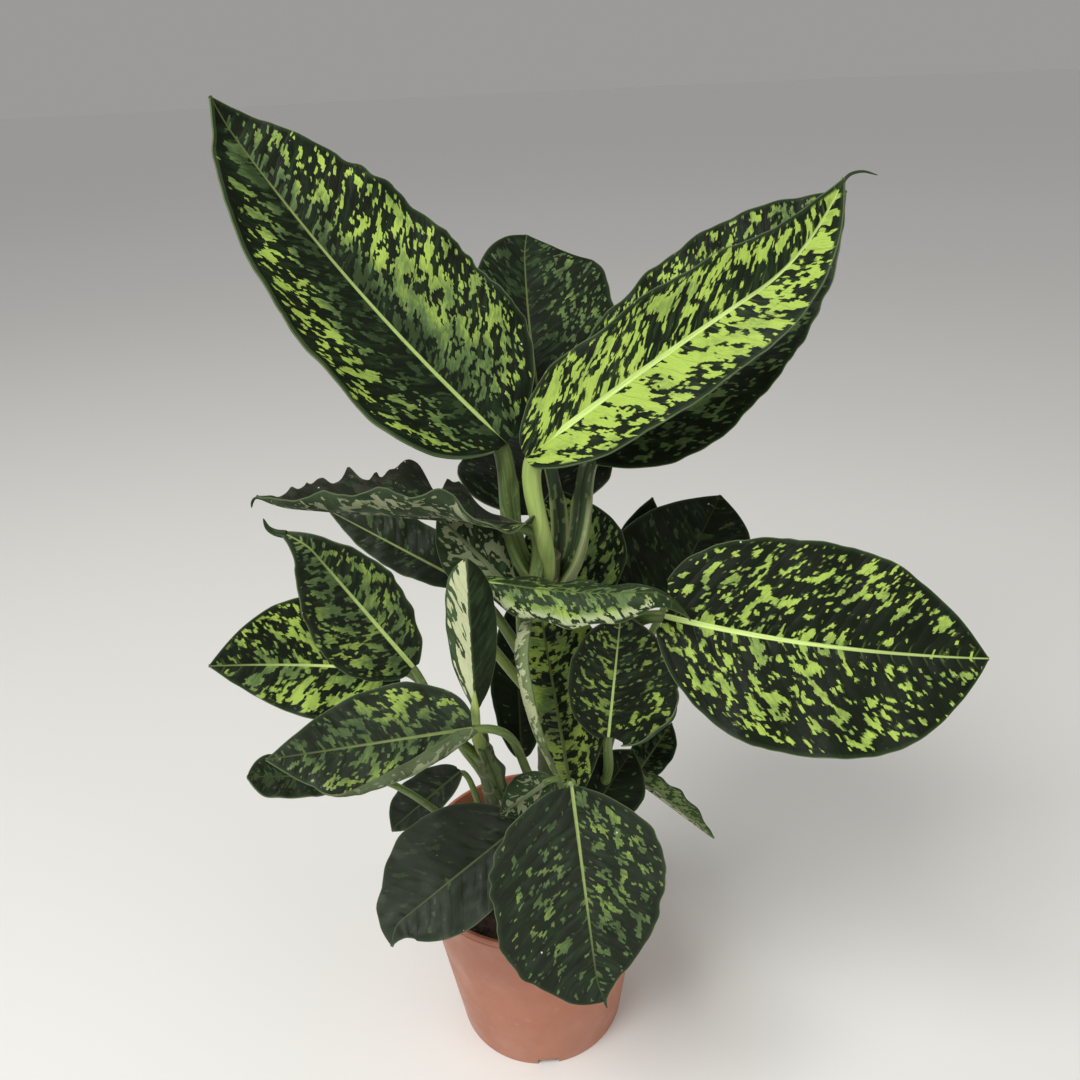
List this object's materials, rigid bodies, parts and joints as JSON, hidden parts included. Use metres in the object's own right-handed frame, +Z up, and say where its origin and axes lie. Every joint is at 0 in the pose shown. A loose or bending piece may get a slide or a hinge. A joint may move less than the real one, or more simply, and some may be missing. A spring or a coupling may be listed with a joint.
{
  "type": "potted dieffenbachia",
  "caption": "Potted dieffenbachia: upright canes with large oval speckled leaves on sheathed petioles, in a round plastic nursery pot filled with soil.",
  "frame": {"origin": "centre of the pot's base, on the surface the pot stands on", "axes": "+Z up along the pot's axis; +Y away from the side seen in the picture, so the plant's front is towards -Y; +X towards the large leaf on the right as seen from the front"},
  "size_m": [0.4363, 0.3091, 0.6693],
  "materials": {
    "pot_plastic": "terracotta-coloured moulded plastic with a satin face",
    "soil": "dark crumbly potting soil",
    "cane": "green-brown ringed stem with fine streaks",
    "leaf": "satin dark green with lime blotches along the side veins, a paler underside, and a pale green midrib and petiole"
  },
  "bodies": {
    "root": {"pot": "pot_plastic", "soil": "soil", "cane_main": "cane", "cane_left": "cane", "cane_right": "cane", "cane_front": "cane", "leaf_top_left": "leaf", "leaf_top_right": "leaf", "leaf_top_right_rear": "leaf", "leaf_top_rear": "leaf", "leaf_rear_low": "leaf", "leaf_left_torn": "leaf", "leaf_left_rear": "leaf", "leaf_left_a": "leaf", "leaf_left_b": "leaf", "leaf_left_c": "leaf", "leaf_left_d": "leaf", "leaf_low_left": "leaf", "leaf_rolled": "leaf", "leaf_left_inner": "leaf", "leaf_cross": "leaf", "leaf_centre_long": "leaf", "leaf_behind_stem": "leaf", "leaf_right_rear": "leaf", "leaf_right_rear_b": "leaf", "leaf_right_large": "leaf", "leaf_centre_right": "leaf", "leaf_low_right_small": "leaf", "leaf_low_dark": "leaf", "leaf_low_right_edge": "leaf", "leaf_front": "leaf", "leaf_front_left": "leaf", "leaf_front_inner": "leaf", "leaf_left_withered": "leaf", "leaf_inner_dark": "leaf"}
  },
  "joints": []
}
